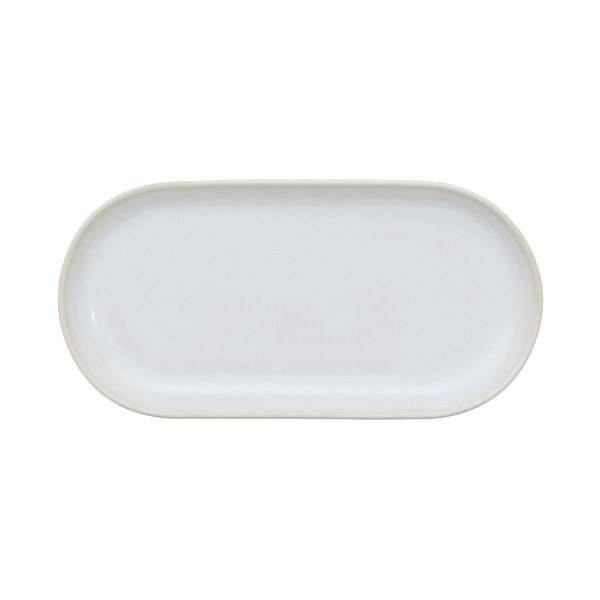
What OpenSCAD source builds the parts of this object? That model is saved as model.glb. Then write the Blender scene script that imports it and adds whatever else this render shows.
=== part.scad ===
// Long round-ended stoneware serving plate, for asparagus.
// One fired clay body, with its coats of glaze as separate thin solids that lie on the clay.
// X runs along the plate, Y across it and Z up. The origin is on the table, under the middle of the plate.

/* [Plate] */
// Overall length, over the lip
plate_length = 350; // [290:1:420]
// Overall width, over the lip
plate_width = 172.5; // [140:0.5:206]
// Overall height, from the table to the top of the lip
plate_height = 26; // [21:0.5:32]

/* [Clay] */
// Thickness of the fired clay, without its glaze
clay_thickness = 4.6; // [3.8:0.1:5.6]
// Slope of the wall, from the horizontal, in degrees
wall_angle = 55; // [45:1:66]
// Radius of the tight cove at the foot of the wall
cove_radius = 12.5; // [10:0.1:15]
// Width of the gentle shoulder round the flat floor of the well
shoulder_run = 15; // [12:0.1:18]
// Slope at which the shoulder runs into the cove, in degrees
shoulder_angle = 15; // [12:0.5:18]

/* [Foot ring] */
// Height of the foot ring under the glazed base
foot_height = 2.5; // [2:0.1:3.1]
// Width of the foot ring
foot_width = 5; // [4:0.1:6]
// How far the foot ring's outer side stands outside the flat floor
foot_outset = 8; // [6.6:0.1:9.6]
// Rounding of the edges that the plate stands on
foot_edge_radius = 0.7; // [0.5:0.1:0.9]
// Fillet between the foot ring and the base
foot_fillet = 1.2; // [0.9:0.1:1.5]

/* [Glaze] */
// Thickness of every coat of glaze
glaze_thickness = 0.4; // [0.3:0.01:0.5]
// How far the cream rim glaze reaches down the inside of the wall, from the rounded lip
rim_band_inside = 4; // [3:0.1:5]
// How far the cream rim glaze reaches down the outside of the wall, from the rounded lip
rim_band_outside = 3; // [2:0.1:4]
// Height above the table at which the glaze is wiped off the foot ring
glaze_line = 1.1; // [0.9:0.05:1.35]

/* [Hidden] */

$fn = 180;
chord_depth = 0.01;  // how far a curve of the section may bulge over the chords that draw it
same_point = 0.0005; // points of the section closer than this are one point

clay_colour = [0.80, 0.74, 0.63];
rim_colour = [0.84, 0.80, 0.73];
glaze_colour = [0.86, 0.88, 0.90];

// The plan is a straight line with a constant distance round it.
spine = plate_length - plate_width;

// A place in the section is [distance from that line, height]. A slope s stands for the direction
// [sin s, -cos s]: 0 points down, 90 outwards, 180 up and 270 inwards.
function direction(slope) = [sin(slope), -cos(slope)];

// Heights of the clay, under its glaze.
base_z = foot_height + glaze_thickness;
floor_z = base_z + clay_thickness;

// The lip is a half round over the whole thickness of the wall.
lip_radius = clay_thickness / 2;
lip_reach = lip_radius + glaze_thickness;
lip_centre = [plate_width / 2 - lip_reach, plate_height - lip_reach];
wall_inward = direction(wall_angle + 180);
wall_upward = direction(wall_angle + 90);

// Shoulder and cove are arcs with a common tangent, and the wall is tangent to the cove and the lip.
shoulder_radius = shoulder_run / sin(shoulder_angle);
centres_apart = (shoulder_radius - cove_radius) * direction(shoulder_angle);
cove_end_rise = [0, floor_z + shoulder_radius] + centres_apart + cove_radius * direction(wall_angle);
lip_inside = lip_centre + lip_radius * wall_inward;
floor_half_width = lip_inside[0] - cove_end_rise[0] - (lip_inside[1] - cove_end_rise[1]) / tan(wall_angle);
shoulder_centre = [floor_half_width, floor_z + shoulder_radius];
cove_centre = shoulder_centre + centres_apart;

// Sides of the foot ring, and the centres of the fillets between them and the underside of the shoulder.
foot_outer = floor_half_width + foot_outset;
foot_inner = foot_outer - foot_width;
underside_radius = shoulder_radius + clay_thickness;
outer_fillet_side = foot_outset + foot_fillet;
inner_fillet_side = max(0, foot_inner - foot_fillet - floor_half_width);
function fillet_drop(side) = sqrt(pow(underside_radius + foot_fillet, 2) - pow(side, 2));
function fillet_slope(side) = asin(side / (underside_radius + foot_fillet));
outer_fillet_centre = [foot_outer + foot_fillet, shoulder_centre[1] - fillet_drop(outer_fillet_side)];
inner_fillet_centre = [foot_inner - foot_fillet, shoulder_centre[1] - fillet_drop(inner_fillet_side)];

// Points of an arc of the section, from one slope to another.
function arc(centre, radius, from, to) =
    let (
        chord_slope = 2 * acos(1 - chord_depth / radius),
        steps = max(1, ceil(abs(to - from) / chord_slope))
    )
    [for (i = [0:steps]) centre + radius * direction(from + (to - from) * i / steps)];

// A list of points without the repeats where two stretches meet.
function joined(points) =
    [for (i = [0:len(points) - 1]) if (i == 0 || norm(points[i] - points[i - 1]) > same_point) points[i]];

function reversed(points) = [for (i = [len(points) - 1:-1:0]) points[i]];

// Each stretch of the surface below is the clay's own at coat = 0, and the glaze's at
// coat = glaze_thickness.

// The well, from its middle over shoulder and cove to the foot of the wall.
function well_surface(coat) = concat(
    [[0, floor_z + coat]],
    arc(shoulder_centre, shoulder_radius - coat, 0, shoulder_angle),
    arc(cove_centre, cove_radius - coat, shoulder_angle, wall_angle)
);

// Where the rim glaze ends, inside and outside the wall.
function rim_end_inside(coat) =
    lip_centre + (lip_radius + coat) * wall_inward - rim_band_inside * wall_upward;
function rim_end_outside(coat) =
    lip_centre - (lip_radius + coat) * wall_inward - rim_band_outside * wall_upward;

// The lip, from inside to outside, in stretches that end exactly at its highest and its outermost point.
function lip_surface(coat) = concat(
    arc(lip_centre, lip_radius + coat, wall_angle + 180, 180),
    arc(lip_centre, lip_radius + coat, 180, 90),
    arc(lip_centre, lip_radius + coat, 90, wall_angle)
);

// The underside of the wall, from the cove to the side of the foot ring.
function wall_underside(coat) = concat(
    arc(cove_centre, cove_radius + clay_thickness + coat, wall_angle, shoulder_angle),
    arc(shoulder_centre, underside_radius + coat, shoulder_angle, fillet_slope(outer_fillet_side)),
    arc(outer_fillet_centre, foot_fillet - coat, fillet_slope(outer_fillet_side) + 180, 270)
);

// The bare part of the foot ring, from its outer to its inner side.
function foot_surface() = concat(
    arc([foot_outer - foot_edge_radius, foot_edge_radius], foot_edge_radius, 90, 0),
    arc([foot_inner + foot_edge_radius, foot_edge_radius], foot_edge_radius, 0, -90)
);

// The base inside the foot ring, from the ring's side to the middle. A ring that stands in far enough has
// its inner side under the flat floor, and its fillet then ends on the flat base.
function base_surface(coat) = concat(
    arc(inner_fillet_centre, foot_fillet - coat, 90, fillet_slope(inner_fillet_side) + 180),
    inner_fillet_side > 0
        ? arc(shoulder_centre, underside_radius + coat, fillet_slope(inner_fillet_side), 0)
        : [],
    [[0, base_z - coat]]
);

// Carries a half section round the plan: along both sides, and round both ends.
module carried_round() {
    for (end = [0, 180])
        rotate([0, 0, end])
            translate([spine / 2, 0, 0])
                rotate([0, 0, -90])
                    rotate_extrude(angle = 180)
                        children();
    rotate([90, 0, 90])
        linear_extrude(height = spine, center = true) {
            children();
            mirror([1, 0])
                children();
        }
}

// The fired clay: floor, shoulder, cove, wall and lip, and the foot ring that is one with them.
module stoneware_body() {
    color(clay_colour)
        carried_round()
            polygon(joined(concat(
                well_surface(0),
                lip_surface(0),
                wall_underside(0),
                foot_surface(),
                base_surface(0)
            )));
}

// White glaze in the well and up the inside of the wall.
module well_glaze() {
    color(glaze_colour)
        carried_round()
            polygon(joined(concat(
                well_surface(glaze_thickness),
                [rim_end_inside(glaze_thickness), rim_end_inside(0)],
                reversed(well_surface(0))
            )));
}

// Cream glaze that breaks over the lip.
module rim_glaze() {
    color(rim_colour)
        carried_round()
            polygon(joined(concat(
                [rim_end_inside(glaze_thickness)],
                lip_surface(glaze_thickness),
                [rim_end_outside(glaze_thickness), rim_end_outside(0)],
                reversed(lip_surface(0)),
                [rim_end_inside(0)]
            )));
}

// White glaze down the outside of the wall, to the wiped line on the foot ring.
module wall_glaze() {
    color(glaze_colour)
        carried_round()
            polygon(joined(concat(
                [rim_end_outside(glaze_thickness)],
                wall_underside(glaze_thickness),
                [[foot_outer + glaze_thickness, glaze_line], [foot_outer, glaze_line]],
                reversed(wall_underside(0)),
                [rim_end_outside(0)]
            )));
}

// White glaze on the base, inside the foot ring.
module base_glaze() {
    color(glaze_colour)
        carried_round()
            polygon(joined(concat(
                [[foot_inner - glaze_thickness, glaze_line]],
                base_surface(glaze_thickness),
                reversed(base_surface(0)),
                [[foot_inner, glaze_line]]
            )));
}

stoneware_body();
well_glaze();
rim_glaze();
wall_glaze();
base_glaze();
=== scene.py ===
"""A long round-ended stoneware plate: its clay body, its coats of glaze and a plain studio.

Each piece is one half section, drawn vertex by vertex, spun round both ends of the plan and
extruded along both sides. A lattice then gives all pieces the same slight unevenness of
handmade ware.
"""

import functools
import math

import bpy
from bpy.props import (
    FloatProperty,
    FloatVectorProperty,
    IntProperty,
    PointerProperty,
)
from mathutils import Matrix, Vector


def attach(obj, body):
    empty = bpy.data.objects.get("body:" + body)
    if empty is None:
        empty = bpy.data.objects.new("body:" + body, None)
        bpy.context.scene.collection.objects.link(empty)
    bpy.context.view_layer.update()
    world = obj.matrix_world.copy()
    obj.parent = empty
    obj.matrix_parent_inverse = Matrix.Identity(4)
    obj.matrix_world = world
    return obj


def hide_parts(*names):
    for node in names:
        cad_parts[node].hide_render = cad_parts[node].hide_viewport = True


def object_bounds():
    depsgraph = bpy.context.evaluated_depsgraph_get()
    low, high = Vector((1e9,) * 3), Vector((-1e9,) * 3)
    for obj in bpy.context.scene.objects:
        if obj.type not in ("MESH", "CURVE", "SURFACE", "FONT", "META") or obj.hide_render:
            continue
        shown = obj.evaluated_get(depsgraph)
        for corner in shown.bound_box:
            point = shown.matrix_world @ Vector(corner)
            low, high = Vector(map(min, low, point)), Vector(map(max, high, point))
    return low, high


bl_info = {
    "name": "Asparagus Plate",
    "version": (1, 0, 0),
    "blender": (4, 5, 0),
    "location": "View3D > Sidebar > Plate",
    "description": "Models a long glazed stoneware plate and sets it in a plain studio",
    "category": "Object",
}

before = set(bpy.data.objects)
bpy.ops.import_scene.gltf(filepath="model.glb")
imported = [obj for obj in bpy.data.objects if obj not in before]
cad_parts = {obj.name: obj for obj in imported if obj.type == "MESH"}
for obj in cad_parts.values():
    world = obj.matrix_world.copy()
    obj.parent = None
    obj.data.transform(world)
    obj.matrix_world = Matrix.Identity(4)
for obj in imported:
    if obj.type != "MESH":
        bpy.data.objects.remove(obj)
CAD_LOW, CAD_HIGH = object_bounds()
CAD_SIZE = CAD_HIGH - CAD_LOW

MM = 0.001
DOWN, OUT, UP, IN = (math.radians(degrees) for degrees in (0, 90, 180, 270))

# Points of a section closer than the first of these are one, and so are vertices of a piece
# closer than the second.
SAME_POINT = 0.0005 * MM
SAME_VERTEX = 0.002 * MM
SMOOTH_ANGLE = math.radians(40)


# Settings


def length(name, description, default):
    """A length in metres that the panel shows in the scene's unit."""
    return FloatProperty(
        name=name,
        description=description,
        default=default,
        min=0.0,
        unit="LENGTH",
        precision=5,
    )


def slope(name, description, degrees):
    """An angle from the horizontal."""
    return FloatProperty(
        name=name,
        description=description,
        default=math.radians(degrees),
        subtype="ANGLE",
    )


def share(name, description, default):
    """A number from nought to one."""
    return FloatProperty(
        name=name,
        description=description,
        default=default,
        min=0.0,
        max=1.0,
        subtype="FACTOR",
    )


def colour(name, description, default):
    """A surface colour, in linear light."""
    return FloatVectorProperty(
        name=name,
        description=description,
        default=default,
        size=3,
        min=0.0,
        max=1.0,
        subtype="COLOR",
    )


def light(name, description, default):
    """The brightness of a light, where 1 looks white."""
    return FloatProperty(name=name, description=description, default=default, min=0.0)


class PlateSizes(bpy.types.PropertyGroup):
    """Sizes of the plate and of its section."""

    plate_length: length("Length", "Overall length, over the lip", CAD_SIZE.x)
    plate_width: length("Width", "Overall width, over the lip", CAD_SIZE.y)
    plate_height: length("Height", "From the table to the top of the lip", CAD_SIZE.z)
    clay: length("Clay", "Thickness of the fired clay", 4.6 * MM)
    wall_slope: slope("Wall", "Slope of the wall", 55)
    cove_radius: length("Cove", "Radius at the foot of the wall", 12.5 * MM)
    shoulder_run: length("Shoulder", "Width of the shoulder round the floor", 15 * MM)
    shoulder_slope: slope("Shoulder slope", "Slope where shoulder meets cove", 15)
    foot_height: length("Foot height", "Height of the foot ring", 2.5 * MM)
    foot_width: length("Foot width", "Width of the foot ring", 5 * MM)
    foot_outset: length("Foot outset", "From the flat floor to the foot", 8 * MM)
    foot_edge: length("Foot edge", "Rounding of the foot's lower edges", 0.7 * MM)
    foot_fillet: length("Foot fillet", "Fillet between foot and base", 1.2 * MM)
    glaze: length("Glaze", "Thickness of every coat of glaze", 0.4 * MM)
    band_inside: length("Rim band inside", "Reach down the inner wall", 4 * MM)
    band_outside: length("Rim band outside", "Reach down the outer wall", 3 * MM)
    glaze_line: length("Glaze line", "Height at which the foot is wiped", 1.1 * MM)
    chord_depth: length("Chord depth", "Bulge of a curve over its chords", 0.005 * MM)
    floor_step: length("Floor step", "Spacing of edges across the floor", 4 * MM)
    end_steps: IntProperty(
        name="End steps",
        description="Steps round each half-round end",
        default=90,
        min=16,
        max=360,
    )
    side_steps: IntProperty(
        name="Side steps",
        description="Steps along each straight side",
        default=32,
        min=4,
        max=256,
    )


class GlazeLooks(bpy.types.PropertyGroup):
    """Colours and finishes of the glazes and of the bare clay."""

    milk: colour("Milk white", "Thick glaze in the well", (0.722, 0.762, 0.798))
    blush: colour("Blush", "Where the white breaks over the clay", (0.728, 0.722, 0.748))
    thin: colour("Thin white", "Thin glaze up the wall", (0.760, 0.752, 0.750))
    olive: colour("Olive cream", "Glaze over most of the lip", (0.724, 0.698, 0.584))
    peach: colour("Peach cream", "Glaze over the lip in a few thin places", (0.742, 0.680, 0.570))
    buff: colour("Buff clay", "Bare foot ring", (0.56, 0.47, 0.35))
    iron: colour("Iron specks", "Specks in the clay", (0.20, 0.13, 0.08))
    gloss: share("Gloss", "Roughness of the glaze", 0.11)
    mottle: share("Mottle", "Soft variation of the glaze's tone", 0.036)
    grain: share("Grain", "Finest variation of the glaze's tone", 0.042)
    cream_fade: length("Cream fade", "How far the cream runs out down the inner wall", 5.6 * MM)


class StudioLooks(bpy.types.PropertyGroup):
    """Camera and light."""

    camera_height: length("Camera height", "From the lip up to the camera", 2.5)
    framed_width: length("Framed width", "Width in view at the lip's height", 0.4311)
    sky: light("Sky", "Even light from all round", 0.585)
    key: light("Key light", "Brightness of the softbox beyond the far side", 1.02)
    sheen: light("Sheen light", "Brightness of the high softbox over the far side", 0.92)
    right_fill: light("Right fill", "Brightness of the softbox beyond the right end", 0.45)
    left_fill: light("Left fill", "Brightness of the softbox beyond the left end", 0.27)
    glint: light("Glint light", "Brightness of the small lamp that glints in the well", 40.0)
    floor_lift: light("Floor lift", "How much paler the floor is to the camera", 0.64)


def settings():
    """The three groups of settings of the scene that is open."""
    scene = bpy.context.scene
    return scene.plate_sizes, scene.plate_glazes, scene.plate_studio


# The half section


def direction(angle):
    """The way a slope points, as (outwards, up): DOWN, OUT, UP and IN are its quarter turns."""
    return Vector((math.sin(angle), -math.cos(angle)))


class Section:
    """The plate's half section. A place in it is (distance from the plan's middle line, height)."""

    def __init__(self, sizes):
        self.sizes = sizes
        self.spine = sizes.plate_length - sizes.plate_width
        self.base_z = sizes.foot_height + sizes.glaze
        self.floor_z = self.base_z + sizes.clay
        self.lip_radius = sizes.clay / 2
        reach = self.lip_radius + sizes.glaze
        self.lip = Vector((sizes.plate_width / 2 - reach, sizes.plate_height - reach))
        self.inward = direction(sizes.wall_slope + math.pi)
        self.upward = direction(sizes.wall_slope + math.pi / 2)
        self.shoulder_radius = sizes.shoulder_run / math.sin(sizes.shoulder_slope)
        apart = (self.shoulder_radius - sizes.cove_radius) * direction(sizes.shoulder_slope)
        cove_end = (
            Vector((0.0, self.floor_z + self.shoulder_radius))
            + apart
            + sizes.cove_radius * direction(sizes.wall_slope)
        )
        lip_inside = self.lip + self.lip_radius * self.inward
        self.floor_half = (
            lip_inside.x
            - cove_end.x
            - (lip_inside.y - cove_end.y) / math.tan(sizes.wall_slope)
        )
        self.shoulder = Vector((self.floor_half, self.floor_z + self.shoulder_radius))
        self.cove = self.shoulder + apart
        self.under_radius = self.shoulder_radius + sizes.clay
        self.foot_outer = self.floor_half + sizes.foot_outset
        self.foot_inner = self.foot_outer - sizes.foot_width
        self.outer_fillet, self.outer_slope = self.fillet(self.foot_outer + sizes.foot_fillet)
        self.inner_fillet, self.inner_slope = self.fillet(self.foot_inner - sizes.foot_fillet)

    def fillet(self, distance):
        """Centre of a fillet under the shoulder, and the slope at which it leaves the shoulder."""
        side = max(0.0, distance - self.floor_half)
        reach = self.under_radius + self.sizes.foot_fillet
        drop = math.sqrt(reach**2 - side**2)
        return Vector((distance, self.shoulder.y - drop)), math.asin(side / reach)

    def arc(self, centre, radius, start, stop):
        """Points of an arc of the section, as fine as its chord depth asks."""
        chord = 2 * math.acos(1 - self.sizes.chord_depth / radius)
        steps = max(1, math.ceil(abs(stop - start) / chord))
        return [
            centre + radius * direction(start + (stop - start) * i / steps)
            for i in range(steps + 1)
        ]

    def flat(self, start, stop):
        """Points of a straight stretch, no further apart than a floor step."""
        steps = max(1, math.ceil((stop - start).length / self.sizes.floor_step))
        return [start.lerp(stop, i / steps) for i in range(steps + 1)]

    def well(self, coat):
        """From the middle of the floor up to the end of the cove."""
        sizes = self.sizes
        level = self.floor_z + coat
        return (
            self.flat(Vector((0.0, level)), Vector((self.floor_half, level)))
            + self.arc(self.shoulder, self.shoulder_radius - coat, DOWN, sizes.shoulder_slope)
            + self.arc(self.cove, sizes.cove_radius - coat, sizes.shoulder_slope, sizes.wall_slope)
        )

    def band_end(self, coat, inside):
        """Where the rim glaze ends, on the inner or the outer side of the wall."""
        side, reach = (1, self.sizes.band_inside) if inside else (-1, self.sizes.band_outside)
        return self.lip + side * (self.lip_radius + coat) * self.inward - reach * self.upward

    def over_lip(self, coat):
        """Over the lip from inside to outside."""
        radius = self.lip_radius + coat
        wall = self.sizes.wall_slope
        return (
            self.arc(self.lip, radius, wall + math.pi, UP)
            + self.arc(self.lip, radius, UP, OUT)
            + self.arc(self.lip, radius, OUT, wall)
        )

    def outside(self, coat):
        """From the outer wall down to the side of the foot ring."""
        sizes = self.sizes
        cove_radius = sizes.cove_radius + sizes.clay + coat
        under_radius = self.under_radius + coat
        return (
            self.arc(self.cove, cove_radius, sizes.wall_slope, sizes.shoulder_slope)
            + self.arc(self.shoulder, under_radius, sizes.shoulder_slope, self.outer_slope)
            + self.arc(self.outer_fillet, sizes.foot_fillet - coat, self.outer_slope + UP, IN)
        )

    def foot(self):
        """Under the foot ring, from its outer to its inner side."""
        edge = self.sizes.foot_edge
        outer = Vector((self.foot_outer - edge, edge))
        inner = Vector((self.foot_inner + edge, edge))
        return self.arc(outer, edge, OUT, DOWN) + self.arc(inner, edge, DOWN, -OUT)

    def base(self, coat):
        """From the foot ring's inner side to the middle of the base."""
        level = self.base_z - coat
        points = self.arc(
            self.inner_fillet, self.sizes.foot_fillet - coat, OUT, self.inner_slope + UP
        )
        if self.inner_slope > 0:
            points += self.arc(
                self.shoulder, self.under_radius + coat, self.inner_slope, DOWN
            )
        return points + self.flat(points[-1], Vector((0.0, level)))


# Modelling


def deselect_all():
    """Leaves nothing selected and no object in edit mode."""
    if bpy.context.object and bpy.context.object.mode != "OBJECT":
        bpy.ops.object.mode_set(mode="OBJECT")
    bpy.ops.object.select_all(action="DESELECT")


def without_repeats(points):
    """The points, without those that lie on the one before."""
    kept = [points[0]]
    for point in points[1:]:
        if (point - kept[-1]).length > SAME_POINT:
            kept.append(point)
    return kept


def draw_section(name, points, x):
    """Starts a piece with its half section: a chain of edges across the far side at x."""
    deselect_all()
    first = points[0]
    bpy.ops.mesh.primitive_plane_add(size=MM, location=(x, first.x, first.y))
    piece = bpy.context.object
    piece.name = piece.data.name = name
    bpy.ops.object.transform_apply(location=True, rotation=True, scale=True)
    bpy.ops.object.mode_set(mode="EDIT")
    bpy.ops.mesh.select_mode(type="VERT")
    bpy.ops.mesh.select_all(action="SELECT")
    bpy.ops.mesh.merge(type="CENTER")
    for before, after in zip(points, points[1:]):
        step = after - before
        bpy.ops.mesh.extrude_region_move(TRANSFORM_OT_translate={"value": (0.0, step.x, step.y)})
    return piece


def carry_round(section):
    """Takes the drawn section once round the plan, clockwise from the far side, and closes it."""
    sizes, end = section.sizes, section.spine / 2
    bpy.ops.mesh.select_all(action="SELECT")
    for side in (1, -1):
        bpy.ops.mesh.spin(
            steps=sizes.end_steps,
            angle=math.pi,
            center=(side * end, 0.0, 0.0),
            axis=(0.0, 0.0, 1.0),
        )
        bpy.ops.mesh.extrude_repeat(
            steps=sizes.side_steps,
            offset=(-side * section.spine / sizes.side_steps, 0.0, 0.0),
        )
    bpy.ops.mesh.select_all(action="SELECT")
    bpy.ops.mesh.remove_doubles(threshold=SAME_VERTEX)
    bpy.ops.mesh.normals_make_consistent(inside=False)
    bpy.ops.object.mode_set(mode="OBJECT")


def sweep(name, points):
    """A closed piece with that half section.

    The section's first and last point are one, or lie on the middle line.
    """
    section = Section(bpy.context.scene.plate_sizes)
    piece = draw_section(name, without_repeats(points), section.spine / 2)
    carry_round(section)
    return piece


# Slow waves of the fired plate, by place round its outline: how many, how far in millimetres,
# and their phase in degrees.
OUTLINE_WAVES = (
    (1, 0.28, 123),
    (2, 0.25, -80),
    (3, 0.42, -113),
    (4, 0.19, -73),
    (5, 0.25, 29),
    (6, 0.37, -157),
    (7, 0.18, 28),
    (8, 0.20, 160),
    (10, 0.19, 15),
    (12, 0.11, 9),
)
RIM_WAVES = ((2, 0.16, 40), (3, 0.10, 200), (5, 0.06, 90))

# The lattice that carries the waves: its points along, across and up, and how much larger than
# the plate it is in plan.
WARP_POINTS = (25, 13, 2)
WARP_MARGIN = 1.1


def waves(table, part):
    """Sum of the waves at that part of the way round the outline, in metres."""
    return MM * sum(
        size * math.cos(count * part * math.tau - math.radians(phase))
        for count, size, phase in table
    )


def part_of_outline(x, y, end, radius):
    """How far round the outline a place lies, anticlockwise from the right end, as a share."""
    if abs(x) <= end:
        way = (math.pi / 2 * radius + end - x) if y > 0 else (1.5 * math.pi * radius + 3 * end + x)
    elif x > end:
        way = math.atan2(y, x - end) * radius
    else:
        way = math.atan2(y, x + end) % math.tau * radius + 2 * end
    return way / (math.tau * radius + 4 * end) % 1.0


def add_warp():
    """A lattice round the plate that carries the unevenness of handmade ware."""
    sizes = bpy.context.scene.plate_sizes
    box = Vector((
        sizes.plate_length * WARP_MARGIN,
        sizes.plate_width * WARP_MARGIN,
        sizes.plate_height,
    ))
    deselect_all()
    bpy.ops.object.add(type="LATTICE", location=(0.0, 0.0, sizes.plate_height / 2))
    warp = bpy.context.object
    warp.name = "handmade_warp"
    warp.scale = box
    grid = warp.data
    grid.points_u, grid.points_v, grid.points_w = WARP_POINTS
    grid.interpolation_type_u = grid.interpolation_type_v = "KEY_CATMULL_ROM"
    grid.interpolation_type_w = "KEY_LINEAR"
    end, radius = Section(sizes).spine / 2, sizes.plate_width / 2
    for point in grid.points:
        place = Vector(step * side for step, side in zip(point.co, box))
        away = Vector((place.x - max(-end, min(end, place.x)), place.y, 0.0))
        if away.length < MM:
            continue
        part = part_of_outline(place.x, place.y, end, radius)
        near_lip = min(1.0, away.length / radius) ** 2
        shift = away.normalized() * waves(OUTLINE_WAVES, part) * near_lip
        if place.z > 0:
            shift.z = waves(RIM_WAVES, part) * near_lip
        point.co_deform = Vector(
            start + step / scale for start, step, scale in zip(point.co, shift, box)
        )
    return warp


def finish_piece(piece, material, node):
    """Warps, smooths and dresses a piece, says what it rides on, and hides the CAD part that it
    stands for.
    """
    warp = add_warp()
    deselect_all()
    piece.select_set(True)
    bpy.context.view_layer.objects.active = piece
    bend = piece.modifiers.new("Warp", "LATTICE")
    bend.object = warp
    bpy.ops.object.modifier_apply(modifier=bend.name)
    bpy.ops.object.shade_smooth_by_angle(angle=SMOOTH_ANGLE)
    piece.data.materials.append(material)
    bpy.data.objects.remove(warp)
    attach(piece, "root")
    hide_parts(node)


# Materials


# Noise that isn't stretched along the three axes, and that isn't moved.
EVEN = (1.0, 1.0, 1.0)
NOWHERE = (0.0, 0.0, 0.0)


class Nodes:
    """Adds nodes to a material and joins them up."""

    def __init__(self, name):
        self.material = bpy.data.materials.new(name)
        self.material.use_nodes = True
        self.tree = self.material.node_tree
        self.tree.nodes.clear()
        self.output = self.add("ShaderNodeOutputMaterial")
        self.place = self.add("ShaderNodeTexCoord").outputs["Object"]

    def add(self, kind, **values):
        """A new node of that kind, with those values of its own."""
        made = self.tree.nodes.new(kind)
        for key, value in values.items():
            setattr(made, key, value)
        return made

    def put(self, socket, value):
        """Joins another node's socket to this one, or sets a number or a colour on it."""
        if isinstance(value, bpy.types.NodeSocket):
            self.tree.links.new(value, socket)
        elif socket.type == "RGBA" and len(value) == 3:
            socket.default_value = (*value, 1.0)
        else:
            socket.default_value = value

    def math(self, operation, *values):
        """The result of that operation on the values."""
        made = self.add("ShaderNodeMath", operation=operation)
        for socket, value in zip(made.inputs, values):
            self.put(socket, value)
        return made.outputs[0]

    def total(self, *values):
        """Sum of the values."""
        return functools.reduce(lambda so_far, value: self.math("ADD", so_far, value), values)

    def product(self, *values):
        """Product of the values."""
        return functools.reduce(lambda so_far, value: self.math("MULTIPLY", so_far, value), values)

    def difference(self, value, less):
        """The first value less the second."""
        return self.math("SUBTRACT", value, less)

    def clamped(self, value, low=0.0, high=1.0):
        """The value, kept between low and high."""
        return self.math("MINIMUM", self.math("MAXIMUM", value, low), high)

    def between(self, value, low, high, to_low=0.0, to_high=1.0):
        """A smooth step from to_low at low to to_high at high."""
        made = self.add("ShaderNodeMapRange", interpolation_type="SMOOTHSTEP")
        for socket, given in zip(made.inputs, (value, low, high, to_low, to_high)):
            self.put(socket, given)
        return made.outputs[0]

    def hump(self, value, middle, reach):
        """One at the middle, and nought from that reach on either side of it."""
        off = self.math("ABSOLUTE", self.difference(value, middle))
        return self.between(off, 0.0, reach, 1.0, 0.0)

    def dot(self, first, second, way):
        """How far a pair of values lies along a way in their plane."""
        return self.total(self.product(first, way.x), self.product(second, way.y))

    def noise(self, size, detail=2.0, roughness=0.5, stretch=EVEN, move=NOWHERE):
        """Noise whose lumps are about that size, stretched along the axes and moved."""
        mapping = self.add("ShaderNodeMapping", vector_type="TEXTURE")
        self.put(mapping.inputs["Vector"], self.place)
        mapping.inputs["Location"].default_value = move
        mapping.inputs["Scale"].default_value = [size * part for part in stretch]
        made = self.add("ShaderNodeTexNoise", noise_dimensions="3D")
        self.put(made.inputs["Vector"], mapping.outputs[0])
        made.inputs["Scale"].default_value = 1.0
        made.inputs["Detail"].default_value = detail
        made.inputs["Roughness"].default_value = roughness
        return made.outputs["Fac"]

    def swing(self, value, size):
        """Noise turned into a swing of that size either way."""
        return self.product(self.difference(value, 0.5), 2 * size)

    def mix(self, share_of_second, first, second):
        """Two colours mixed."""
        made = self.add("ShaderNodeMix", data_type="RGBA")
        self.put(made.inputs["Factor"], share_of_second)
        for name, value in (("A", first), ("B", second)):
            colours = (socket for socket in made.inputs if socket.type == "RGBA")
            self.put(next(socket for socket in colours if socket.name == name), value)
        return next(socket for socket in made.outputs if socket.type == "RGBA")

    def scaled(self, paint, factor):
        """A colour made paler or darker by a factor."""
        made = self.add("ShaderNodeVectorMath", operation="SCALE")
        self.put(made.inputs[0], paint)
        self.put(made.inputs["Scale"], factor)
        return made.outputs[0]

    def shade(self, paint, roughness, height, ior):
        """The finished surface. Height is in metres."""
        bump = self.add("ShaderNodeBump")
        bump.inputs["Strength"].default_value = 1.0
        bump.inputs["Distance"].default_value = 1.0
        self.put(bump.inputs["Height"], height)
        surface = self.add("ShaderNodeBsdfPrincipled")
        self.put(surface.inputs["Base Color"], paint)
        self.put(surface.inputs["Roughness"], roughness)
        self.put(surface.inputs["Normal"], bump.outputs[0])
        surface.inputs["IOR"].default_value = ior
        self.put(self.output.inputs["Surface"], surface.outputs[0])
        return self.material


class PlateNodes(Nodes):
    """Nodes that know where on the plate the shaded point is."""

    def __init__(self, name, section):
        super().__init__(name)
        self.section = section
        end = section.spine / 2
        parts = self.add("ShaderNodeSeparateXYZ")
        self.put(parts.inputs[0], self.place)
        self.x, self.y, self.z = parts.outputs

        # The point's distance from the plan's middle line, and which way it lies from there.
        along = self.difference(self.x, self.clamped(self.x, -end, end))
        squares = self.total(self.product(along, along), self.product(self.y, self.y))
        self.away = self.math("SQRT", squares)
        reach = self.math("MAXIMUM", self.away, MM)
        self.right = self.math("DIVIDE", along, reach)
        self.far = self.math("DIVIDE", self.y, reach)

        # Places round the lip, seen from its centre: the turn in degrees is nought straight up
        # the wall, and grows towards the well.
        out = self.difference(self.away, section.lip.x)
        up = self.difference(self.z, section.lip.y)
        up_wall = self.dot(out, up, section.upward)
        turn = self.math("ARCTAN2", self.dot(out, up, section.inward), up_wall)
        self.turn = self.math("DEGREES", turn)
        self.drift = self.swing(self.noise(22 * MM), 0.7 * MM)
        self.down_wall = self.difference(self.drift, up_wall)

    def toward(self, degrees):
        """One where the rim faces that way, anticlockwise from the right, and less elsewhere."""
        angle = math.radians(degrees)
        return self.dot(self.right, self.far, Vector((math.cos(angle), math.sin(angle))))

    def clouds(self, table):
        """Soft clouds, one for each row of the table."""
        cover = 0.0
        for middle_x, middle_y, reach_x, reach_y, strength in table:
            off_x = self.math("DIVIDE", self.difference(self.x, middle_x * MM), reach_x * MM)
            off_y = self.math("DIVIDE", self.difference(self.y, middle_y * MM), reach_y * MM)
            off = self.total(self.product(off_x, off_x), self.product(off_y, off_y))
            cover = self.total(cover, self.between(off, 0.1, 1.2, strength, 0.0))
        return self.clamped(cover)


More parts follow.
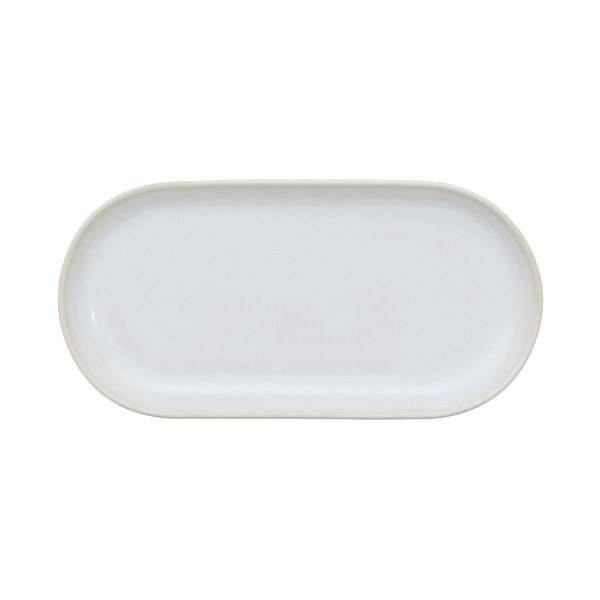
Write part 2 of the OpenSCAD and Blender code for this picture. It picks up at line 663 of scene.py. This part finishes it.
# Clouds, given as their middle and their reach, along and across in millimetres, and strength.
FLOOR_CLOUDS = (
    (50, 46, 22, 5, 0.4),
    (74, 48, 22, 7, 0.7),
    (100, 41, 16, 9, 0.8),
    (115, 34, 10, 7, 0.6),
    (122, 14, 6, 14, 0.5),
    (117, 2, 14, 7, 0.35),
    (50, 0, 36, 12, 0.45),
    (-2, -26, 20, 30, 0.5),
    (24, -34, 20, 12, 0.5),
    (56, -27, 20, 26, 0.5),
    (-50, -24, 100, 34, 0.2),
)
WALL_CLOUDS = ((-118, -66, 30, 20, 0.30), (-66, -77, 44, 12, 0.45))
STREAKS = ((-98, 13, 48, 2.2, 0.012), (92, 22, 20, 2.2, 0.008), (114, 25, 18, 2.4, 0.010))


def blush_share(nodes):
    """Blush: a band inside the near edge of the floor, broken clouds, and a few on the wall."""
    edge = nodes.section.floor_half
    on_floor = nodes.between(nodes.away, edge - 1 * MM, edge + 2 * MM, 1.0, 0.0)
    lumps = nodes.noise(32 * MM, 3.0, 0.55, (1.4, 0.9, 1.0), (0.31, 0.17, 0.0))
    broken = nodes.between(lumps, 0.34, 0.60, 0.35)
    wavering = nodes.total(nodes.away, nodes.swing(nodes.noise(30 * MM), 6 * MM))
    band = nodes.product(
        nodes.between(wavering, edge - 16 * MM, edge - 7 * MM),
        nodes.between(nodes.y, -6 * MM, 0.0, 1.0, 0.0),
        nodes.between(nodes.x, 64 * MM, 76 * MM, 0.8, 0.0),
        nodes.between(broken, 0.35, 1.0, 0.75, 1.0),
    )
    clouds = nodes.product(nodes.clouds(FLOOR_CLOUDS), broken)
    wall_start = nodes.section.cove.x
    on_wall = nodes.between(nodes.away, wall_start + 1.5 * MM, wall_start + 6 * MM)
    return nodes.total(
        nodes.product(nodes.math("MAXIMUM", clouds, band), on_floor),
        nodes.product(nodes.clouds(WALL_CLOUDS), on_wall),
    )


def thin_share(nodes):
    """The glaze is thin from the cove up, and on the near side from higher up the wall."""
    # The near side's higher start reaches further round the right end than round the left.
    near_side_ends = nodes.between(nodes.x, -80 * MM, 80 * MM, -0.93, -0.40)
    start = nodes.between(nodes.far, -1.0, near_side_ends, 13.5 * MM, 8.3 * MM)
    height = nodes.difference(nodes.total(nodes.z, nodes.drift), start)

    # It stays thicker straight towards the near side, and at the tip of the left end.
    most = nodes.math(
        "MINIMUM",
        nodes.between(nodes.far, -1.0, -0.90, 0.6, 1.0),
        nodes.between(nodes.right, -1.0, -0.93, 0.65, 1.0),
    )
    return nodes.product(nodes.between(height, 0.0, 6.2 * MM), most)


def cream_share(nodes, fade):
    """Cream breaks over the lip, furthest in on the far side, and runs out down the wall."""
    # Over the lip, it starts further in towards the far right. It covers the outside thinly.
    far_right = nodes.total(nodes.toward(80), nodes.product(nodes.x, 1.2))
    start = nodes.between(far_right, 0.74, 1.06, -85, -25)
    over = nodes.between(nodes.turn, start, nodes.total(start, 125))
    outside = nodes.between(nodes.turn, -110, -80, 0.6, 0.0)

    # Down the wall, the middle of its fading end lies lowest on the far side.
    middle = nodes.total(
        nodes.between(nodes.far, -0.1, 0.5, 1.7 * MM, 3.5 * MM),
        nodes.between(nodes.far, -1.0, -0.8, 0.5 * MM, 0.0),
    )
    inside = nodes.between(nodes.difference(nodes.down_wall, middle), -fade / 2, fade / 2, 1.0, 0.0)

    # It is weaker on the near side, weakest at the near right, and patchy.
    amount = nodes.between(nodes.far, -0.95, -0.10, 0.58, 0.97)
    patchy = nodes.swing(nodes.noise(45 * MM, 1.5, 0.5, EVEN, (0.07, 0.23, 0.0)), 0.08)
    near_right = nodes.total(nodes.toward(-50), nodes.product(nodes.x, 1.2))
    gap = nodes.total(
        nodes.between(near_right, 0.70, 0.98, 0.0, 0.22),
        nodes.between(nodes.toward(-28), 0.90, 1.0, 0.0, 0.20),
    )
    amount = nodes.clamped(nodes.difference(nodes.total(amount, patchy), gap))
    return nodes.product(nodes.math("MAXIMUM", over, outside), inside, amount)


def peach_share(nodes):
    """The cream turns peach in patches over the lip, mostly round the ends."""
    patches = nodes.between(nodes.noise(50 * MM, 1.0, 0.5, EVEN, (0.5, 0.4, 0.1)), 0.52, 0.70)
    near_an_end = nodes.between(nodes.math("ABSOLUTE", nodes.x), 30 * MM, 100 * MM)
    ends = nodes.product(near_an_end, nodes.between(nodes.far, -0.8, -0.3))
    far_right = nodes.product(
        nodes.between(nodes.toward(75), 0.75, 0.97), nodes.between(nodes.x, 0.0, 40 * MM)
    )
    peach = nodes.total(
        nodes.product(patches, 0.5), nodes.product(ends, 0.35), nodes.product(far_right, 0.6)
    )
    on_lip = nodes.between(nodes.turn, 45, 100, 1.0, 0.3)
    return nodes.product(nodes.clamped(peach), on_lip)


def lip_tone(nodes):
    """Along the lip: painted shade on the outer edge, a painted shadow, a painted highlight and a
    darker line on the near side, and darker tops.
    """
    near_side = nodes.between(nodes.far, -0.99, -0.95, 1.0, 0.0)
    outer_edge = nodes.product(
        nodes.between(nodes.turn, -60, -25), nodes.between(nodes.turn, -10, 13, 1.0, 0.0)
    )
    # A painted shadow line just inside the near edge of the lip.
    painted_shadow_line = nodes.between(nodes.x, -10 * MM, 50 * MM, -0.27, -0.07)
    # A painted highlight line along the near lip, beside the painted shadow.
    painted_highlight_line = nodes.product(nodes.hump(nodes.x, 35 * MM, 70 * MM), 0.05)
    inner_line = nodes.hump(nodes.turn, 70, 28)
    lip_top = nodes.hump(nodes.turn, 38, 46)
    far_left = nodes.difference(nodes.toward(122), nodes.product(nodes.x, 0.6))
    return nodes.total(
        # Painted shade on the lip's outer edge: deepest on the near side, and a little all round,
        # more towards the right.
        nodes.product(outer_edge, nodes.between(nodes.far, -1.0, -0.80, -0.24, 0.0)),
        nodes.product(outer_edge, nodes.between(nodes.toward(-10), -0.1, 0.8, -0.03, -0.08)),
        nodes.product(nodes.hump(nodes.turn, -2, 20), near_side, painted_shadow_line),
        nodes.product(nodes.hump(nodes.turn, 16, 26), near_side, painted_highlight_line),
        nodes.product(inner_line, nodes.between(nodes.far, -1.0, -0.85, -0.035, 0.0)),
        # Darker lip tops towards the far left and towards the right end.
        nodes.product(lip_top, nodes.between(far_left, 0.82, 0.96, 0.0, -0.10)),
        nodes.product(lip_top, nodes.between(nodes.toward(15), 0.6, 0.9, 0.0, -0.045)),
    )


def wall_tone(nodes):
    """Up the wall: paler half way up and more so at the ends, painted light near the top on the
    near side, darker near the top at the far right, and a faint line under the cream.
    """
    middle = nodes.hump(nodes.away, nodes.section.lip.x - 9.5 * MM, 6 * MM)
    top = nodes.hump(nodes.away, nodes.section.lip.x - 6 * MM, 9 * MM)
    at_ends = nodes.product(nodes.math("ABSOLUTE", nodes.right), 0.030)
    under_cream = nodes.hump(nodes.down_wall, 1.8 * MM, 3.2 * MM)
    return nodes.total(
        nodes.product(middle, nodes.total(0.018, at_ends)),
        # Painted light: the top of the wall is paler on the near side, which faces the lamps. The
        # top is also darker towards the far right.
        nodes.product(top, nodes.between(nodes.far, -0.6, -0.15, 0.04, 0.0)),
        nodes.product(top, nodes.between(nodes.toward(50), 0.75, 0.95, 0.0, -0.035)),
        nodes.product(under_cream, nodes.between(nodes.far, 0.0, 0.9, 0.0, -0.015)),
    )


def well_tone(nodes):
    """In the well: a painted highlight round the shoulder, painted light and shade on its far side,
    a painted highlight streak at the near right, a pale line where the shoulder meets the cove,
    painted shade in the cove, and streaks.
    """
    start = nodes.section.shoulder.x
    run = nodes.section.sizes.shoulder_run
    ring = nodes.hump(nodes.away, start + 0.4 * run, 10 * MM)
    painted_highlight_streak = nodes.hump(nodes.away, start + run - 3 * MM, 4.5 * MM)
    pale_cove_line = nodes.hump(nodes.away, start + run - 0.8 * MM, 1.6 * MM)
    cove = nodes.hump(nodes.away, start + run + 1 * MM, 4 * MM)
    far_painted_light_and_shade = nodes.between(nodes.x, -60 * MM, 90 * MM, 0.018, -0.028)
    return nodes.total(
        # A painted highlight round the shoulder, strongest at the near right.
        nodes.product(ring, nodes.between(nodes.toward(-36), 0.93, 1.0, 0.024, 0.035)),
        # Painted light and shade along the far side of the shoulder: paler to the left, darker to
        # the right.
        nodes.product(ring, nodes.between(nodes.far, 0.5, 0.95), far_painted_light_and_shade),
        # A painted highlight streak near the foot of the shoulder at the near right.
        nodes.product(painted_highlight_streak, nodes.between(nodes.toward(-34), 0.90, 1.0, 0.014, 0.050)),
        # A pale line where the shoulder meets the cove, mostly on the far left.
        nodes.product(pale_cove_line, nodes.between(nodes.toward(120), 0.1, 0.8, 0.0, 0.026)),
        # Painted shade in the cove.
        nodes.product(cove, -0.014),
        nodes.product(nodes.clouds(STREAKS), -1.0),
    )


def glaze_tone(nodes, looks, cream):
    """How pale the glaze is, as a factor: by place, with painted light and shade, and under the
    cream, then mottle and grain.
    """
    return nodes.total(
        1.0,
        lip_tone(nodes),
        wall_tone(nodes),
        well_tone(nodes),
        nodes.product(cream, -0.035),
        nodes.swing(nodes.noise(12 * MM, 1.5, 0.5, (9.0, 1.0, 1.0)), 0.012),
        nodes.swing(nodes.noise(4.5 * MM, 2.0, 0.6), looks.mottle),
        nodes.swing(nodes.noise(1.3 * MM, 1.0), looks.grain),
    )


def glaze_material(name):
    """Milky white glaze that thins to a warm grey up the wall and breaks cream over the lip."""
    ready = bpy.data.materials.get(name)
    if ready:
        return ready
    sizes, looks, _ = settings()
    nodes = PlateNodes(name, Section(sizes))
    paint = nodes.mix(blush_share(nodes), looks.milk, looks.blush)
    paint = nodes.mix(thin_share(nodes), paint, looks.thin)
    cream = cream_share(nodes, looks.cream_fade)
    paint = nodes.mix(cream, paint, nodes.mix(peach_share(nodes), looks.olive, looks.peach))
    wiped = nodes.hump(nodes.z, sizes.glaze_line, 0.9 * MM)
    paint = nodes.mix(nodes.product(wiped, 0.5), paint, looks.buff)
    # The tone factor also paints light and shade onto the glaze.
    paint = nodes.scaled(paint, glaze_tone(nodes, looks, cream))
    roughness = nodes.total(looks.gloss, nodes.swing(nodes.noise(18 * MM, 3.0), 0.04))
    slow_waves = nodes.swing(nodes.noise(30 * MM, 1.0), 0.030 * MM)
    ripples = nodes.swing(nodes.noise(3.6 * MM, 1.5), 0.0022 * MM)
    return nodes.shade(paint, roughness, nodes.total(slow_waves, ripples), ior=1.5)


def clay_material(name):
    """Bare fired stoneware: buff, sandy and matt, with a few iron specks."""
    looks = bpy.context.scene.plate_glazes
    nodes = Nodes(name)
    patches = nodes.swing(nodes.noise(10 * MM, 3.0, 0.6), 0.10)
    grain = nodes.swing(nodes.noise(0.8 * MM, 2.0, 0.6), 0.16)
    specks = nodes.between(nodes.noise(1.6 * MM, 1.0, 0.4), 0.69, 0.74)
    tone = nodes.total(1.0, patches, grain)
    paint = nodes.mix(specks, nodes.scaled(looks.buff, tone), looks.iron)
    roughness = nodes.total(0.78, nodes.swing(nodes.noise(2 * MM), 0.12))
    sand = nodes.swing(nodes.noise(0.7 * MM, 3.0, 0.65), 0.05 * MM)
    slow_waves = nodes.swing(nodes.noise(6 * MM, 1.0), 0.04 * MM)
    return nodes.shade(paint, roughness, nodes.total(sand, slow_waves), ior=1.45)


# Studio


FLOOR_WIDTH = 14.0
FLOOR_GREY = (0.75, 0.75, 0.75)
WHITE = (1.0, 1.0, 1.0)

# Lamps: name, elevation and turn in degrees, distance, width and length in metres, and the
# setting that holds the brightness. The turn is anticlockwise from the right end.
LAMPS = (
    ("key_softbox", 50, 104, 2.2, (3.5, 1.65), "key"),
    ("sheen_softbox", 67, 106, 2.2, (2.1, 0.86), "sheen"),
    ("right_softbox", 45, 0, 2.2, (1.8, 1.8), "right_fill"),
    ("left_softbox", 40, 180, 2.2, (1.8, 1.4), "left_fill"),
    ("glint_lamp", 76, 15, 2.6, (0.030, 0.085), "glint"),
)

# The photograph is centred a little off the middle of the plate.
CAMERA_PLACE = (-0.29 * MM, -0.14 * MM)

# The camera's sensor in millimetres, and how far the camera sees in metres.
SENSOR_WIDTH = 36.0
FURTHEST_SEEN = 50.0


def add_lamp(name, elevation, turn, distance, size, brightness):
    """A rectangular lamp aimed at the plate, unseen by the camera."""
    rise, turn = math.radians(elevation), math.radians(turn)
    place = distance * Vector(
        (math.cos(rise) * math.cos(turn), math.cos(rise) * math.sin(turn), math.sin(rise))
    )
    deselect_all()
    bpy.ops.object.light_add(type="AREA", location=place)
    lamp = bpy.context.object
    lamp.name = lamp.data.name = name
    lamp.data.shape = "RECTANGLE"
    lamp.data.size, lamp.data.size_y = size
    lamp.data.energy = brightness * math.pi * size[0] * size[1]
    lamp.visible_camera = False
    lamp.rotation_euler = (-place).to_track_quat("-Z", "Y").to_euler()


def backdrop_material(lift):
    """White to the camera with the plate's shadow left on it, and a pale floor to the light."""
    nodes = Nodes("pale_floor")
    plain = nodes.add("ShaderNodeBsdfDiffuse")
    nodes.put(plain.inputs["Color"], FLOOR_GREY)
    white = nodes.add("ShaderNodeEmission")
    nodes.put(white.inputs["Color"], WHITE)
    rays = nodes.add("ShaderNodeLightPath")
    seen, glossy, through = (
        rays.outputs[f"Is {kind} Ray"] for kind in ("Camera", "Glossy", "Transmission")
    )
    mirrored = nodes.math("MAXIMUM", glossy, through)
    lifted = nodes.total(nodes.product(seen, lift), nodes.product(mirrored, lift / 2))
    nodes.put(white.inputs["Strength"], lifted)
    both = nodes.add("ShaderNodeAddShader")
    nodes.put(both.inputs[0], plain.outputs[0])
    nodes.put(both.inputs[1], white.outputs[0])
    nodes.put(nodes.output.inputs["Surface"], both.outputs[0])
    return nodes.material


def set_world(sky):
    """Even light from all round, seen as plain white."""
    world = bpy.context.scene.world or bpy.data.worlds.new("Studio")
    bpy.context.scene.world = world
    world.use_nodes = True
    tree = world.node_tree
    tree.nodes.clear()
    output = tree.nodes.new("ShaderNodeOutputWorld")
    even = tree.nodes.new("ShaderNodeBackground")
    even.inputs["Color"].default_value = (*WHITE, 1.0)
    rays = tree.nodes.new("ShaderNodeLightPath")
    seen = rays.outputs["Is Camera Ray"]
    for ray in ("Is Glossy Ray", "Is Transmission Ray"):
        either = tree.nodes.new("ShaderNodeMath")
        either.operation = "MAXIMUM"
        tree.links.new(seen, either.inputs[0])
        tree.links.new(rays.outputs[ray], either.inputs[1])
        seen = either.outputs[0]
    level = tree.nodes.new("ShaderNodeMapRange")
    tree.links.new(seen, level.inputs["Value"])
    level.inputs["To Min"].default_value = sky
    level.inputs["To Max"].default_value = 1.0
    tree.links.new(level.outputs[0], even.inputs["Strength"])
    tree.links.new(even.outputs[0], output.inputs["Surface"])


# Operators


class PLATE_OT_clay_body(bpy.types.Operator):
    """Model the fired clay, from the well over the lip to the foot ring and the base"""

    bl_idname = "plate.clay_body"
    bl_label = "Clay Body"

    def execute(self, context):
        section = Section(context.scene.plate_sizes)
        points = (
            section.well(0.0)
            + section.over_lip(0.0)
            + section.outside(0.0)
            + section.foot()
            + section.base(0.0)
        )
        piece = sweep("clay_body", points)
        finish_piece(piece, clay_material("bare_stoneware"), "stoneware_body")
        return {"FINISHED"}


class PLATE_OT_glaze_coats(bpy.types.Operator):
    """Lay the four coats of glaze on the clay: well, rim, outer wall and base"""

    bl_idname = "plate.glaze_coats"
    bl_label = "Glaze Coats"

    def execute(self, context):
        section = Section(context.scene.plate_sizes)
        coat = section.sizes.glaze
        inside = [section.band_end(depth, True) for depth in (coat, 0.0)]
        outside = [section.band_end(depth, False) for depth in (coat, 0.0)]
        line = section.sizes.glaze_line
        outer_line = [Vector((section.foot_outer + depth, line)) for depth in (coat, 0.0)]
        inner_line = [Vector((section.foot_inner - depth, line)) for depth in (coat, 0.0)]
        well = section.well(coat) + inside + section.well(0.0)[::-1]
        rim = (
            [inside[0]]
            + section.over_lip(coat)
            + outside
            + section.over_lip(0.0)[::-1]
            + inside[::-1]
        )
        wall = (
            [outside[0]]
            + section.outside(coat)
            + outer_line
            + section.outside(0.0)[::-1]
            + outside[::-1]
        )
        base = section.base(coat)[::-1] + inner_line + section.base(0.0)
        for name, points, slot, node in (
            ("well_coat", well, "white_glaze", "well_glaze"),
            ("rim_coat", rim, "cream_glaze", "rim_glaze"),
            ("wall_coat", wall, "white_glaze", "wall_glaze"),
            ("base_coat", base, "white_glaze", "base_glaze"),
        ):
            piece = sweep(name, points)
            finish_piece(piece, glaze_material("reactive_" + slot), node)
        return {"FINISHED"}


class PLATE_OT_studio(bpy.types.Operator):
    """Set the plate on a pale floor under soft light, with the camera straight above"""

    bl_idname = "plate.studio"
    bl_label = "Studio"

    def execute(self, context):
        sizes, _, studio = settings()
        deselect_all()
        bpy.ops.mesh.primitive_plane_add(size=FLOOR_WIDTH)
        floor = bpy.context.object
        floor.name = floor.data.name = "floor"
        floor.data.materials.append(backdrop_material(studio.floor_lift))

        set_world(studio.sky)
        for *place, setting in LAMPS:
            add_lamp(*place, getattr(studio, setting))

        height = sizes.plate_height + studio.camera_height
        bpy.ops.object.camera_add(location=(*CAMERA_PLACE, height))
        camera = context.object
        camera.name = "overhead_camera"
        camera.data.sensor_width = SENSOR_WIDTH
        camera.data.lens = SENSOR_WIDTH * studio.camera_height / studio.framed_width
        camera.data.clip_end = FURTHEST_SEEN
        context.scene.camera = camera
        context.scene.view_settings.view_transform = "Standard"
        return {"FINISHED"}


class PLATE_PT_panel(bpy.types.Panel):
    """Lists the plate's pieces and the settings that shape them"""

    bl_label = "Asparagus Plate"
    bl_idname = "PLATE_PT_panel"
    bl_space_type = "VIEW_3D"
    bl_region_type = "UI"
    bl_category = "Plate"

    def draw(self, context):
        column = self.layout.column()
        for operator in (PLATE_OT_clay_body, PLATE_OT_glaze_coats, PLATE_OT_studio):
            column.operator(operator.bl_idname)
        for group in settings():
            box = self.layout.box()
            for key in group.__annotations__:
                box.prop(group, key)


CLASSES = (
    PlateSizes,
    GlazeLooks,
    StudioLooks,
    PLATE_OT_clay_body,
    PLATE_OT_glaze_coats,
    PLATE_OT_studio,
    PLATE_PT_panel,
)


def register():
    """Adds the classes and gives every scene its three groups of settings."""
    for each in CLASSES:
        bpy.utils.register_class(each)
    bpy.types.Scene.plate_sizes = PointerProperty(type=PlateSizes)
    bpy.types.Scene.plate_glazes = PointerProperty(type=GlazeLooks)
    bpy.types.Scene.plate_studio = PointerProperty(type=StudioLooks)


def unregister():
    """Takes the settings and the classes away again."""
    del bpy.types.Scene.plate_studio, bpy.types.Scene.plate_glazes, bpy.types.Scene.plate_sizes
    for each in reversed(CLASSES):
        bpy.utils.unregister_class(each)


def main():
    """Makes the plate and its studio."""
    register()
    bpy.ops.plate.clay_body()
    bpy.ops.plate.glaze_coats()
    bpy.ops.plate.studio()


if __name__ == "__main__":
    main()
